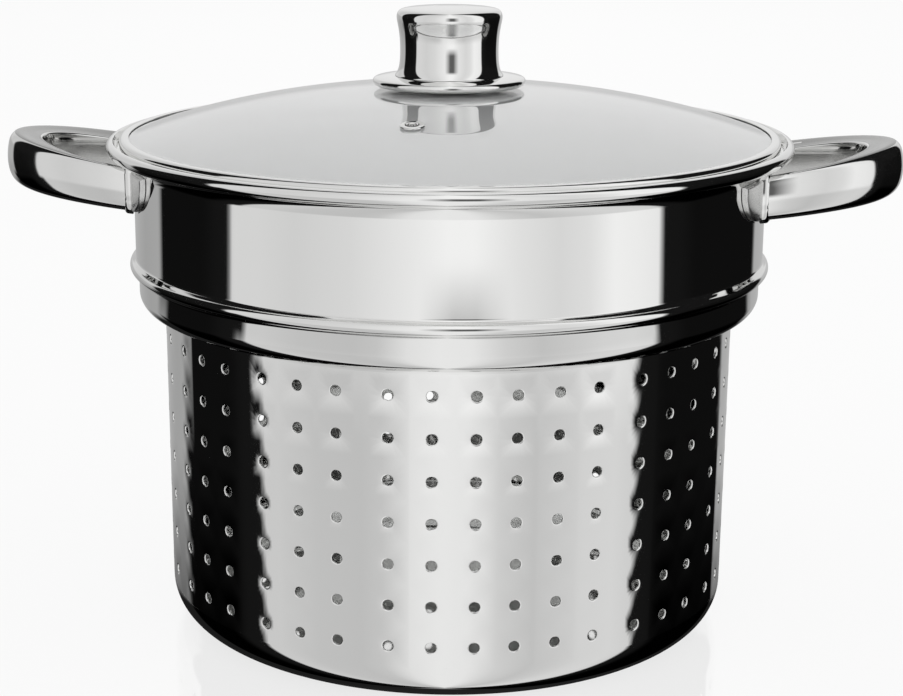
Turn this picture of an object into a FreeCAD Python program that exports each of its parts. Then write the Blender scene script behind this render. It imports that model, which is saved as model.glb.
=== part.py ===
# A pasta insert: a perforated strainer pot with two loop handles and a domed glass lid.
# The origin is the middle of the flat base, +Z up; the handles lie along X and the front faces -Y.
import FreeCAD, Part
import math
import os

DRIVING = [
    ("sheet", 0.8, "thickness of the pot's steel sheet"),
    ("seat_gap", 0.2, "clearance between pieces that seat on each other"),
    ("lean", 0.1, "lean of a flat step, such as the shoulder, over its width"),
    ("collar_radius", 120.0, "outside of the plain upper wall"),
    ("shoulder_inset", 10.7, "how far the perforated wall lies inside the upper wall"),
    ("wall_draft", 0.5, "how much the perforated wall narrows towards the base"),
    ("base_corner", 15.4, "radius of the corner between base and wall"),
    ("shoulder_height", 124.5, "underside of the flat shoulder"),
    ("shoulder_round", 6.0, "size of the shoulder's outer corner"),
    ("band_inset", 1.0, "how far the locating band lies inside the upper wall"),
    ("band_spare", 0.1, "metal that is turned off the flats of the locating band to make it round"),
    ("band_height", 6.6, "height of the locating band over the shoulder's corner"),
    ("bead_tall", 6.4, "height of the bead that rests on the outer pot"),
    ("bead_slope", 2.0, "height of the bead's slope on each side"),
    ("bead_reach", 2.3, "how far the bead stands out of the upper wall"),
    ("seat_rise", 59.5, "height over the shoulder of the ledge that the lid rests on"),
    ("flare_drop", 5.0, "height of the flare between the upper wall and the ledge"),
    ("rim_reach", 10.3, "how far the rolled rim stands out of the upper wall"),
    ("rim_rise", 4.0, "height of the rolled rim over the ledge"),
    ("rim_edge", 1.1, "size of the rolled rim's rounded corners"),
    ("lip_width", 2.6, "width of the rolled rim over the ledge"),
    ("hole_size", 4.0, "size of a punched hole"),
    ("hole_rows", 7, "holes in one column"),
    ("row_pitch", 15.3, "distance between the rows"),
    ("low_row", 22.9, "height of the lowest row"),
    ("groups", 14, "groups of hole columns round the wall"),
    ("group_columns", 3, "columns in one group"),
    ("column_step", 8.0, "degrees between the columns of a group"),
    ("closing_step", 23.5, "degrees between the last and the first group"),
    ("first_group", 23.9, "degrees from the front to the middle of the first group"),
    ("drain_pitch", 24.0, "distance between the rings of drain holes in the base"),
    ("drain_rings", 3, "rings of drain holes round the middle one"),
    ("plate_thick", 2.0, "thickness of the handle plate"),
    ("plate_half", 61.0, "half the width of the handle plate"),
    ("plate_tall", 15.0, "height of the handle plate"),
    ("plate_drop", 5.5, "distance of the plate's upper edge below the ledge"),
    ("plate_round", 12.0, "rounding of the plate's lower corners"),
    ("socket_wall", 0.8, "wall of the socket round each end of a handle"),
    ("socket_length", 1.8, "how far the sockets stand out of the plate"),
    ("handle_inset", 10.0, "distance of the handle's ellipse inside the upper wall"),
    ("handle_reach", 58.4, "length of that ellipse outwards"),
    ("handle_half", 38.0, "half its width"),
    ("tip_width", 11.0, "width of the handle's section at its tip"),
    ("arm_width", 8.5, "width of the handle's section at its arms"),
    ("root_drop", 4.6, "top of the handle at its root, below the ledge"),
    ("root_tall", 16.3, "height of the handle at its root"),
    ("tip_rise", 4.2, "top of the handle at its tip, over the ledge"),
    ("tip_tall", 20.6, "height of the handle at its tip"),
    ("handle_dip", 2.2, "how far the handle's top is dished towards its inner edge"),
    ("arm_bulge", 0.8, "bulge of the handle's outer face at its arms"),
    ("tip_bulge", 2.8, "bulge of the handle's outer face at its tip"),
    ("top_round", 1.6, "rounding of the handle's upper outer edge"),
    ("low_round", 3.2, "rounding of the handle's lower outer edge"),
    ("lid_reach", 5.0, "how far the lid's steel band lies outside the upper wall"),
    ("lid_lip", 3.6, "how far the band reaches over and under the glass"),
    ("band_sheet", 0.6, "thickness of the lid's steel band"),
    ("glass_thick", 3.5, "thickness of the lid's glass"),
    ("glass_rise", 17.7, "rise of the dome above its edge"),
    ("vent_angle", -7.1, "degrees from the front to the steam vent"),
    ("vent_place", 72.0, "distance of the steam vent from the middle"),
    ("vent_flange", 4.5, "outside of the vent's eyelet"),
    ("vent_tube", 3.0, "outside of the eyelet in the glass"),
    ("vent_bore", 1.6, "radius of the vent's bore"),
    ("vent_sheet", 0.8, "thickness of the eyelet's flanges"),
    ("seal_radius", 14.0, "radius of the silicone seals"),
    ("seal_thick", 0.8, "thickness of the silicone seals"),
    ("skirt_radius", 29.0, "outside of the skirt under the knob"),
    ("skirt_thick", 3.6, "thickness of the skirt"),
    ("knob_foot", 20.8, "radius of the knob where it meets the skirt"),
    ("knob_waist", 18.6, "radius of the knob's waist"),
    ("knob_radius", 20.0, "radius of the knob's top"),
    ("knob_tall", 26.0, "height of the knob over its skirt"),
    ("knob_wall", 1.0, "thickness of the knob's shell"),
    ("stud_radius", 6.0, "radius of the threaded stud inside the knob"),
    ("screw_radius", 2.4, "radius of the knob's screw"),
    ("screw_grip", 7.0, "length of screw inside the stud"),
    ("head_radius", 4.6, "radius of the screw's head"),
    ("head_thick", 3.0, "height of the screw's head"),
    ("washer_radius", 10.0, "radius of the steel washer"),
    ("washer_thick", 1.2, "thickness of the steel washer"),
]
DERIVED = [
    ("tub_radius", "=collar_radius - shoulder_inset", "outside of the perforated wall at its top"),
    ("foot_radius", "=tub_radius - wall_draft", "outside of the perforated wall above the base corner"),
    ("band_radius", "=collar_radius - band_inset", "outside of the locating band"),
    ("band_low", "=shoulder_height + shoulder_round", "lower end of the locating band"),
    ("band_high", "=band_low + band_height", "upper end of the locating band"),
    ("bead_radius", "=collar_radius + bead_reach", "outside of the bead"),
    ("seat_height", "=shoulder_height + seat_rise", "ledge inside the rim"),
    ("flare_low", "=seat_height - flare_drop", "lower end of the flare"),
    ("rim_radius", "=collar_radius + rim_reach", "outside of the rolled rim"),
    ("rim_height", "=seat_height + rim_rise", "top of the rolled rim"),
    ("plate_inside", "=collar_radius + seat_gap", "inside of the handle plate"),
    ("plate_outside", "=plate_inside + plate_thick", "outside of the handle plate"),
    ("plate_low", "=seat_height - plate_drop - plate_tall", "lower edge of the handle plate"),
    ("handle_end", "=plate_outside + seat_gap", "radius at which the handle's ends meet the plate"),
    ("socket_end", "=plate_outside + socket_length", "radius at which the sockets end"),
    ("lid_radius", "=collar_radius + lid_reach", "outside of the lid's steel band"),
    ("lid_mouth", "=lid_radius - lid_lip", "inside of the lid's steel band"),
    ("glass_radius", "=lid_radius - band_sheet - seat_gap", "outside of the glass"),
    ("dome_radius", "=lid_mouth - seat_gap", "radius at which the dome starts"),
    ("band_bottom", "=seat_height + seat_gap", "underside of the lid's steel band"),
    ("glass_low", "=band_bottom + band_sheet + seat_gap", "underside of the glass at its edge"),
    ("glass_edge", "=glass_low + glass_thick", "top of the glass at its edge"),
    ("band_top", "=glass_edge + seat_gap + band_sheet", "top of the lid's steel band"),
    ("dome_top", "=glass_edge + glass_rise", "top of the dome, which the knob's seal lies on"),
    ("skirt_low", "=dome_top + seal_thick", "underside of the knob's skirt"),
    ("knob_low", "=skirt_low + skirt_thick", "underside of the knob's shell"),
    ("dome_under", "=dome_top - glass_thick", "underside of the dome in its middle"),
    ("washer_top", "=dome_under - seal_thick", "upper face of the steel washer"),
    ("head_top", "=washer_top - washer_thick", "upper face of the screw's head"),
    ("screw_hole", "=screw_radius + seat_gap", "radius of the hole for the screw"),
]
STRIPS = 42
LID_SIDES = 42
KNOB_SIDES = 28
SMALL_SIDES = 16
HOLE_SIDES = 5
CORNER_STEPS = 3
DOME_SHARES = (0.14, 0.38, 0.58, 0.75, 0.88, 1.0)
DOME_POWER = 2.3
HANDLE_STEPS = 18
SOCKET_STEPS = 2
SOCKET_PLACE = 0.9
OUTER_END = 85.2
INNER_END = 80.3
OVERRUN = 1.08

doc = FreeCAD.newDocument("pasta_insert")
sheet = doc.addObject("Spreadsheet::Sheet", "Sizes")
for row, (alias, number, meaning) in enumerate(DRIVING + DERIVED, start=1):
    sheet.set("A%d" % row, meaning)
    sheet.set("B%d" % row, str(number))
    sheet.setAlias("B%d" % row, alias)
doc.recompute()


def number(alias):
    return float(sheet.get(alias))


def bound(kind, name, turn=0.0, **lengths):
    """A primitive with its sizes, and its height as `z`, bound to the sheet."""
    thing = doc.addObject(kind, name)
    thing.Placement.Rotation = FreeCAD.Rotation(turn, 0, 0)
    for prop, text in lengths.items():
        thing.setExpression("Placement.Base.z" if prop == "z" else prop, text)
    return thing


def named(alias):
    return "Sizes." + alias


def joined(kind, name, base, tool):
    result = doc.addObject(kind, name)
    result.Base = base
    result.Tool = tool
    return result


def stacked(name, rings, sides, turn=0.0):
    """A flat-sided solid through regular polygons, each given by its radius and its height."""
    loft = doc.addObject("Part::Loft", name)
    sections = []
    for index, (radius, height) in enumerate(rings):
        label = "%s_ring_%d" % (name, index)
        ring = bound("Part::RegularPolygon", label, turn, Circumradius=radius, z=height)
        ring.Polygon = sides
        sections.append(ring)
    loft.Sections = sections
    loft.Solid = True
    loft.Ruled = True
    loft.Linearize = True
    return loft


def block(name, radius, low, high, sides):
    """A flat-sided disc or bar from one height to another."""
    prism = bound("Part::Prism", name, Circumradius=radius, Height="(%s) - (%s)" % (high, low), z=low)
    prism.Polygon = sides
    return prism


# The pot: flat strips, one for each column of holes, run from the base over the shoulder to the rim.


def group_step():
    return (360.0 - number("closing_step")) / (int(number("groups")) - 1)


def strip_turn():
    """Degrees of a fold between two strips, so that the columns stay near the middle of their strips."""
    drift = group_step() - 360.0 / int(number("groups"))
    first = number("first_group") - 90.0 + drift * (int(number("groups")) - 1) / 2
    return first + 180.0 / STRIPS


def corner_rings(inset, floor):
    """The rings of the round corner from the base to the wall; the inset moves them inwards."""
    for step in range(CORNER_STEPS + 1):
        turn = math.radians(90.0 * step / CORNER_STEPS)
        middle = "Sizes.foot_radius - Sizes.base_corner"
        corner = "(Sizes.base_corner - %s)" % inset
        radius = "%s + %s * %.6f" % (middle, corner, math.sin(turn))
        yield (radius, "%s + %s * %.6f" % (floor, corner, 1 - math.cos(turn)))


def band_flats():
    """Radius of the polygon whose flats lie just outside the locating band."""
    return "(Sizes.band_radius + Sizes.band_spare) / %.6f" % math.cos(math.pi / STRIPS)


def outside_rings():
    return list(corner_rings("0", "0")) + [
        ("Sizes.tub_radius", "Sizes.shoulder_height - Sizes.lean"),
        ("Sizes.band_radius - Sizes.shoulder_round", "Sizes.shoulder_height"),
        ("Sizes.band_radius - Sizes.shoulder_round * 0.29", "Sizes.band_low - Sizes.shoulder_round * 0.71"),
        (band_flats(), "Sizes.band_low"),
        (band_flats(), "Sizes.band_high"),
        ("Sizes.bead_radius", "Sizes.band_high + Sizes.bead_slope"),
        ("Sizes.bead_radius", "Sizes.band_high + Sizes.bead_tall - Sizes.bead_slope"),
        ("Sizes.collar_radius", "Sizes.band_high + Sizes.bead_tall"),
        ("Sizes.collar_radius", "Sizes.flare_low"),
        ("Sizes.collar_radius + Sizes.sheet * 4", "Sizes.seat_height - Sizes.sheet - Sizes.lean"),
        ("Sizes.rim_radius - Sizes.rim_edge", "Sizes.seat_height - Sizes.sheet"),
        ("Sizes.rim_radius", "Sizes.seat_height - Sizes.sheet + Sizes.rim_edge"),
        ("Sizes.rim_radius", "Sizes.rim_height - Sizes.rim_edge"),
        ("Sizes.rim_radius - Sizes.rim_edge", "Sizes.rim_height"),
    ]


def inside_rings():
    return list(corner_rings("Sizes.sheet", "Sizes.sheet")) + [
        ("Sizes.tub_radius - Sizes.sheet", "Sizes.shoulder_height + Sizes.sheet - Sizes.lean"),
        ("Sizes.band_radius - Sizes.shoulder_round", "Sizes.shoulder_height + Sizes.sheet"),
        ("Sizes.band_radius - Sizes.sheet", "Sizes.band_low + Sizes.sheet"),
        ("Sizes.band_radius - Sizes.sheet", "Sizes.band_high"),
        ("Sizes.bead_radius - Sizes.sheet", "Sizes.band_high + Sizes.bead_slope"),
        ("Sizes.bead_radius - Sizes.sheet", "Sizes.band_high + Sizes.bead_tall - Sizes.bead_slope"),
        ("Sizes.collar_radius - Sizes.sheet", "Sizes.band_high + Sizes.bead_tall"),
        ("Sizes.collar_radius - Sizes.sheet", "Sizes.flare_low"),
        ("Sizes.collar_radius + Sizes.sheet * 3", "Sizes.seat_height - Sizes.lean"),
        ("Sizes.rim_radius - Sizes.lip_width - Sizes.rim_edge", "Sizes.seat_height"),
        ("Sizes.rim_radius - Sizes.lip_width", "Sizes.rim_height"),
    ]


def punch(reach):
    """A prism along +X from the axis, as long as the reach, that punches one hole."""
    half = number("hole_size") / 2
    turns = [2 * math.pi * side / HOLE_SIDES for side in range(HOLE_SIDES + 1)]
    corners = [FreeCAD.Vector(0, half * math.sin(turn), half * math.cos(turn)) for turn in turns]
    return Part.Face(Part.makePolygon(corners)).extrude(FreeCAD.Vector(reach, 0, 0))


def wall_punches():
    """One prism for each hole of the wall: groups of columns, counted from the front."""
    reach = 5 * number("sheet")
    start = number("foot_radius") - 3 * number("sheet")
    columns = int(number("group_columns"))
    for group in range(int(number("groups"))):
        for column in range(columns):
            angle = number("first_group") - 90.0 + group * group_step()
            angle += (column - (columns - 1) / 2) * number("column_step")
            for row in range(int(number("hole_rows"))):
                tool = punch(reach)
                tool.translate(FreeCAD.Vector(start, 0, number("low_row") + row * number("row_pitch")))
                tool.rotate(FreeCAD.Vector(0, 0, 0), FreeCAD.Vector(0, 0, 1), angle)
                yield tool


def drain_punches():
    """One prism for each hole of the base: rings of six, twelve and so on round the middle one."""
    for ring in range(int(number("drain_rings")) + 1):
        for hole in range(max(1, 6 * ring)):
            tool = punch(3 * number("sheet"))
            tool.rotate(FreeCAD.Vector(0, 0, 0), FreeCAD.Vector(0, 1, 0), -90)
            tool.translate(FreeCAD.Vector(ring * number("drain_pitch"), 0, -number("sheet")))
            tool.rotate(FreeCAD.Vector(0, 0, 0), FreeCAD.Vector(0, 0, 1), 60.0 * hole / max(1, ring))
            yield tool


def strainer_body():
    outside = stacked("pot_outside", outside_rings(), STRIPS, strip_turn())
    inside = stacked("pot_inside", inside_rings(), STRIPS, strip_turn())
    walls = joined("Part::Cut", "pot_walls", outside, inside)
    waste = {"Height": named("band_height"), "z": named("band_low")}
    around = bound("Part::Cylinder", "band_around", Radius=named("rim_radius"), **waste)
    band = bound("Part::Cylinder", "band_true", Radius=named("band_radius"), **waste)
    trued = joined("Part::Cut", "pot_with_round_band", walls, joined("Part::Cut", "band_waste", around, band))
    punches = doc.addObject("Part::Feature", "punches")
    punches.Shape = Part.makeCompound(list(wall_punches()) + list(drain_punches()))
    return joined("Part::Cut", "strainer_body", trued, punches)


# The handles: each is half an elliptical loop with a dished, rising top, in sockets on a bent plate.


def loop_points(place):
    """Inner and outer points of the loop, from -1 at one end over 0 at the tip to 1."""
    centre = number("collar_radius") - number("handle_inset")
    outer = math.radians(OUTER_END * place)
    inner = math.radians(INNER_END * place)
    reach = number("handle_reach")
    half = number("handle_half")
    return (
        FreeCAD.Vector(
            centre + (reach - number("tip_width")) * math.cos(inner),
            (half - number("arm_width")) * math.sin(inner), 0),
        FreeCAD.Vector(centre + reach * math.cos(outer), half * math.sin(outer), 0),
    )


def handle_section(place, grow):
    """The section at a place of the loop as a closed wire, made larger all round by `grow`."""
    inner, outer = loop_points(place)
    root = math.sqrt(number("handle_end") ** 2 - number("handle_half") ** 2)
    tip = loop_points(0)[1].x
    along = (outer.x - root) / (tip - root)
    high = number("seat_height") - number("root_drop") + (number("tip_rise") + number("root_drop")) * along
    tall = number("root_tall") + (number("tip_tall") - number("root_tall")) * along
    low = high - tall - grow
    high += grow
    out = (outer - inner).normalize()
    start = inner - out * grow
    wide = (outer - inner).Length + 2 * grow
    bulge = number("arm_bulge") + (number("tip_bulge") - number("arm_bulge")) * along
    cut = number("low_round")
    top = number("top_round")
    dip = number("handle_dip")
    corners = [
        (wide - cut, low),
        (wide + bulge * 0.1, low + cut * 0.7),
        (wide + bulge * 0.8, low + cut * 1.8),
        (wide + bulge, (low + high) / 2 + top / 2),
        (wide + bulge * 0.75, high - top * 2.5),
        (wide + bulge * 0.3, high - top * 0.8),
        (wide - top, high),
        (wide * 0.4, high - dip * 0.7),
        (top * 0.6, high - dip),
        (0, high - dip - top * 0.6),
        (0, low + top),
        (top, low),
    ]
    points = [FreeCAD.Vector(start.x + out.x * u, start.y + out.y * u, z) for u, z in corners]
    return Part.makePolygon(points + points[:1])


def handle_stretch(name, first, last, steps, grow=0.0):
    """The handle's form between two places of the loop."""
    places = [first + (last - first) * step / steps for step in range(steps + 1)]
    stretch = doc.addObject("Part::Feature", name)
    stretch.Shape = Part.makeLoft([handle_section(place, grow) for place in places], True, True)
    return stretch


def core(name, radius):
    """An upright cylinder about the axis, taller than the pot."""
    return bound("Part::Cylinder", name, Radius=named(radius), Height="Sizes.rim_height * 2")


def turned_to(piece, turn):
    piece.Placement = FreeCAD.Placement(FreeCAD.Vector(0, 0, 0), FreeCAD.Rotation(turn, 0, 0))
    return piece


def handle(side, turn):
    loop = handle_stretch("handle_loop_" + side, -OVERRUN, OVERRUN, HANDLE_STEPS)
    room = core("handle_room_" + side, "handle_end")
    return turned_to(joined("Part::Cut", "handle_" + side, loop, room), turn)


def sockets(side):
    """The two sockets on a plate, as the handle's own form one wall larger and hollow."""
    solids = []
    gap = number("seat_gap")
    for end in (-1, 1):
        name = "socket_%s_%s" % (side, "front" if end < 0 else "back")
        near = end * SOCKET_PLACE
        form = handle_stretch(name + "_form", near, end * OVERRUN, SOCKET_STEPS, gap + number("socket_wall"))
        cut = joined("Part::Common", name + "_cut", form, core(name + "_reach", "socket_end"))
        room = handle_stretch(name + "_room", near, end * OVERRUN, SOCKET_STEPS, gap)
        solids.append(joined("Part::Cut", name, cut, room))
    return solids


def bent_plate(side):
    """A plate with rounded corners, cut to a slice of the ring round the wall."""
    flat = bound(
        "Part::Box", "plate_flat_" + side, Length=named("rim_radius"), Width="Sizes.plate_half * 2",
        Height=named("plate_tall"), z=named("plate_low"),
    )
    flat.setExpression("Placement.Base.y", "-Sizes.plate_half")
    doc.recompute()
    rounded = doc.addObject("Part::Fillet", "plate_rounded_" + side)
    rounded.Base = flat
    chosen = []
    for index, edge in enumerate(flat.Shape.Edges, start=1):
        low = edge.BoundBox.ZMax < number("plate_low") + number("plate_tall") / 2
        radius = number("plate_round") if low else number("plate_thick")
        if edge.BoundBox.XLength > number("collar_radius"):
            chosen.append((index, radius, radius))
    rounded.Edges = chosen
    outer = core("plate_outside_" + side, "plate_outside")
    inner = core("plate_inside_" + side, "plate_inside")
    ring = joined("Part::Cut", "plate_ring_" + side, outer, inner)
    return joined("Part::Common", "plate_bent_" + side, rounded, ring)


def handle_plate(side, turn):
    fused = doc.addObject("Part::MultiFuse", "plate_with_sockets_" + side)
    fused.Shapes = [bent_plate(side)] + sockets(side)
    fused.Refine = False
    inside = core("plate_back_" + side, "plate_inside")
    return turned_to(joined("Part::Cut", "handle_plate_" + side, fused, inside), turn)


# The lid: a glass dome in a steel band, with a steam vent and a knob screwed through its middle.


def dome_rings(drop):
    """Rings of the dome from its edge to its flat middle; the drop lowers them by the glass."""
    for share in reversed(DOME_SHARES):
        fall = 0.0 if share == DOME_SHARES[0] else share ** DOME_POWER
        height = "Sizes.dome_top - Sizes.glass_rise * %.5f - %s" % (fall, drop)
        yield ("Sizes.dome_radius * %.3f" % share, height)


def lid_glass():
    rim = named("glass_radius")
    edge = [(rim, named("glass_low")), (rim, "Sizes.glass_edge - Sizes.lean")]
    outside = stacked("glass_outside", edge + list(dome_rings("0")), LID_SIDES)
    inside = stacked("glass_inside", list(dome_rings("Sizes.glass_thick")), LID_SIDES)
    dome = joined("Part::Cut", "glass_dome", outside, inside)
    middle = core("glass_screw_hole", "screw_hole")
    drilled = joined("Part::Cut", "glass_drilled", dome, middle)
    room = "Sizes.vent_tube + Sizes.seat_gap"
    hole = bound("Part::Cylinder", "vent_hole", Radius=room, Height="Sizes.glass_thick * 6")
    hole.Placement = vent_placement(-3 * number("glass_thick"))
    return joined("Part::Cut", "lid_glass", drilled, hole)


def vent_slope():
    """Fall and slope, in radians, of the dome's flat side under the vent."""
    edge = number("dome_radius")
    side = 2 * math.pi / LID_SIDES
    off_middle = math.radians(number("vent_angle") - 90) % side - side / 2
    place = number("vent_place") * math.cos(off_middle) / math.cos(side / 2)
    rings = [(edge * share, number("glass_rise") * share ** DOME_POWER) for share in DOME_SHARES]
    for (near, high), (far, low) in zip(rings, rings[1:]):
        if near <= place <= far:
            slope = math.atan2(low - high, far - near)
            return high + (place - near) * math.tan(slope), slope
    raise RuntimeError("the vent lies outside the dome")


def vent_placement(along):
    """The vent's place on the dome, square to the glass."""
    fall, slope = vent_slope()
    upright = FreeCAD.Vector(math.sin(slope), 0, math.cos(slope))
    spot = FreeCAD.Vector(number("vent_place"), 0, number("dome_top") - fall) + upright * along
    tilt = FreeCAD.Placement(spot, FreeCAD.Rotation(FreeCAD.Vector(0, 1, 0), math.degrees(slope)))
    turn = FreeCAD.Rotation(number("vent_angle") - 90, 0, 0)
    return FreeCAD.Placement(FreeCAD.Vector(0, 0, 0), turn).multiply(tilt)


def vent_eyelet():
    """A spool through the glass, with a flange on each side of it."""
    under = "-Sizes.glass_thick * %.5f - Sizes.seat_gap" % math.cos(vent_slope()[1])
    spool = stacked("vent_spool", [
        (named("vent_flange"), under + " - Sizes.vent_sheet"),
        (named("vent_flange"), under + " - Sizes.lean"),
        (named("vent_tube"), under),
        (named("vent_tube"), named("seat_gap")),
        (named("vent_flange"), "Sizes.seat_gap + Sizes.lean"),
        (named("vent_flange"), "Sizes.seat_gap + Sizes.vent_sheet"),
    ], SMALL_SIDES)
    low = under + " - Sizes.vent_flange"
    bore = block("vent_bore_room", named("vent_bore"), low, named("vent_flange"), SMALL_SIDES)
    eyelet = joined("Part::Cut", "vent_eyelet", spool, bore)
    eyelet.Placement = vent_placement(0)
    return eyelet


def lid_band():
    outside = stacked("lid_band_outside", [
        (named("lid_radius"), named("band_bottom")),
        (named("lid_radius"), "Sizes.band_top - Sizes.band_sheet"),
        ("Sizes.lid_radius - Sizes.band_sheet", named("band_top")),
    ], LID_SIDES)
    low = named("shoulder_height")
    mouth = block("lid_band_mouth", named("lid_mouth"), low, named("skirt_low"), LID_SIDES)
    ring = joined("Part::Cut", "lid_band_ring", outside, mouth)
    groove = block(
        "lid_band_groove", "Sizes.lid_radius - Sizes.band_sheet", "Sizes.band_bottom + Sizes.band_sheet",
        "Sizes.band_top - Sizes.band_sheet", LID_SIDES,
    )
    return joined("Part::Cut", "lid_band", ring, groove)


def bored(name, disc, sides):
    """A disc with a hole for the screw through its middle."""
    hole = block(name + "_hole", named("screw_hole"), named("shoulder_height"), "Sizes.rim_height * 2", sides)
    return joined("Part::Cut", name, disc, hole)


def flat_ring(name, radius, low, high):
    disc = block(name + "_disc", named(radius), named(low), named(high), KNOB_SIDES)
    return bored(name, disc, SMALL_SIDES)


def knob_shell():
    def ring(radius, share):
        return (radius, "Sizes.knob_low + Sizes.knob_tall * %.3f" % share)

    outside = stacked("knob_outside", [
        ring(named("knob_foot"), 0),
        ring("Sizes.knob_foot * 0.4 + Sizes.knob_waist * 0.6", 0.09),
        ring(named("knob_waist"), 0.3),
        ring(named("knob_waist"), 0.5),
        ring("Sizes.knob_radius * 0.8 + Sizes.knob_waist * 0.2", 0.75),
        ring(named("knob_radius"), 0.85),
        ring("Sizes.knob_radius * 0.97", 0.92),
        ring("Sizes.knob_radius * 0.88", 0.97),
        ring("Sizes.knob_radius * 0.3", 1),
    ], KNOB_SIDES)
    room = block(
        "knob_room", "Sizes.knob_waist - Sizes.knob_wall", named("knob_low"),
        "Sizes.knob_low + Sizes.knob_tall - Sizes.knob_wall * 2", KNOB_SIDES,
    )
    return joined("Part::Cut", "knob_shell", outside, room)


def knob_skirt():
    disc = stacked("knob_skirt_disc", [
        ("Sizes.skirt_radius - Sizes.skirt_thick / 4", named("skirt_low")),
        (named("skirt_radius"), "Sizes.skirt_low + Sizes.skirt_thick / 4"),
        (named("skirt_radius"), "Sizes.skirt_low + Sizes.skirt_thick * 0.6"),
        ("Sizes.skirt_radius - Sizes.skirt_thick / 2", named("knob_low")),
    ], LID_SIDES)
    return bored("knob_skirt", disc, SMALL_SIDES)


def knob_stud():
    """The threaded stud that holds the shell from inside, bored for the screw from below."""
    top = "Sizes.knob_low + Sizes.knob_tall - Sizes.knob_wall * 2"
    bar = block("knob_stud_bar", named("stud_radius"), named("knob_low"), top, SMALL_SIDES)
    deep = "Sizes.knob_low + Sizes.screw_grip + Sizes.knob_wall"
    bore = block("knob_stud_bore", named("screw_hole"), named("knob_low"), deep, SMALL_SIDES)
    return joined("Part::Cut", "knob_stud", bar, bore)


def knob_screw():
    """A pan head under the washer, and the shank up into the stud."""
    return stacked("knob_screw", [
        ("Sizes.head_radius * 0.7", "Sizes.head_top - Sizes.head_thick"),
        (named("head_radius"), "Sizes.head_top - Sizes.head_thick / 2"),
        (named("head_radius"), "Sizes.head_top - Sizes.lean"),
        (named("screw_radius"), named("head_top")),
        (named("screw_radius"), "Sizes.knob_low + Sizes.screw_grip"),
    ], SMALL_SIDES)


pieces = [strainer_body()]
for side, turn in (("right", 0), ("left", 180)):
    pieces.append(handle(side, turn))
    pieces.append(handle_plate(side, turn))
pieces += [lid_band(), lid_glass(), vent_eyelet(), knob_shell(), knob_skirt(), knob_stud(), knob_screw()]
pieces.append(flat_ring("knob_seal", "seal_radius", "dome_top", "skirt_low"))
pieces.append(flat_ring("under_seal", "seal_radius", "washer_top", "dome_under"))
pieces.append(flat_ring("steel_washer", "washer_radius", "head_top", "washer_top"))
doc.recompute()
for thing in doc.Objects:
    if {"Invalid", "Error"} & set(thing.State):
        raise RuntimeError("%s failed: %s" % (thing.Name, thing.State))

os.makedirs("parts", exist_ok=True)
for piece in pieces:
    if piece.Shape.isNull() or not piece.Shape.isValid():
        raise RuntimeError("%s has no valid shape" % piece.Name)
    piece.Label = piece.Name
    piece.Shape.exportStep("parts/%s.step" % piece.Label)
    box = piece.Shape.BoundBox
    spans = [round(v, 1) for v in (box.XMin, box.YMin, box.ZMin, box.XMax, box.YMax, box.ZMax)]
    print(piece.Label, len(piece.Shape.Solids), round(piece.Shape.Volume), spans)
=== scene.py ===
# %% [markdown]
# # A pasta insert with a glass lid
#
# The real object is a deep-drawn pot of polished stainless steel: a perforated tub under a plain
# collar, two loop handles, and a domed glass lid with a steel knob. The solids of its frame are
# already at their real size, so this lesson only dresses them. The frame is loaded first and never
# moved.

# %% Load the frame
import math

import bmesh
import bpy
from mathutils import Euler, Matrix, Vector


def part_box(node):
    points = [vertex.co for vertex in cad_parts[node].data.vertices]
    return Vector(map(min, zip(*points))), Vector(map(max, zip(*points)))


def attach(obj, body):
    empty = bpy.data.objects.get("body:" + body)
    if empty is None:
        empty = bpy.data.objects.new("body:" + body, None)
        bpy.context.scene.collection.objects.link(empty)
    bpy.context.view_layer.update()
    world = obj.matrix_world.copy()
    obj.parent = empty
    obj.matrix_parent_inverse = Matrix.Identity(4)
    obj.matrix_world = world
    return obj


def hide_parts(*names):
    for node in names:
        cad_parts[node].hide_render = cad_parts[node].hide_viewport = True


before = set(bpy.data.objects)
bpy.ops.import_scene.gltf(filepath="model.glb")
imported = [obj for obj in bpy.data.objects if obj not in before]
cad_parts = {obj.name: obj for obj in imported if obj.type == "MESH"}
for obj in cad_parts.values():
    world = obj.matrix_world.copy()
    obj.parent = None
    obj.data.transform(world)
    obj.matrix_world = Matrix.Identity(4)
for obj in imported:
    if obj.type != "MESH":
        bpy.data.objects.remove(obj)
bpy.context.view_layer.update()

MM = 0.001

# %% [markdown]
# ## Camera
#
# The camera stands where the photograph was taken. Its place was found by fitting a camera to the
# rows of holes, the silhouettes and the base of the pot, so it is written in real sizes: how far
# away, how high, how far it tips down, and how far the pot is turned from it. It looks a little past
# the pot, and a small lens shift brings the pot back to the middle. A lens in millimetres follows
# from the focal length in picture columns, because the sensor is as wide as the picture.

# %% Camera
PICTURE_WIDTH_PX = 903
FOCAL_PX = 2018.6
CENTRE_COLUMN_PX = 389.1
CAMERA_AWAY = 767.77 * MM
CAMERA_UP = 301.94 * MM
CAMERA_PITCH = math.radians(14.49)
POT_TURN = math.radians(3.0)
LOOK_ASIDE = math.radians(1.7)
SENSOR_MM = 36.0

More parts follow.
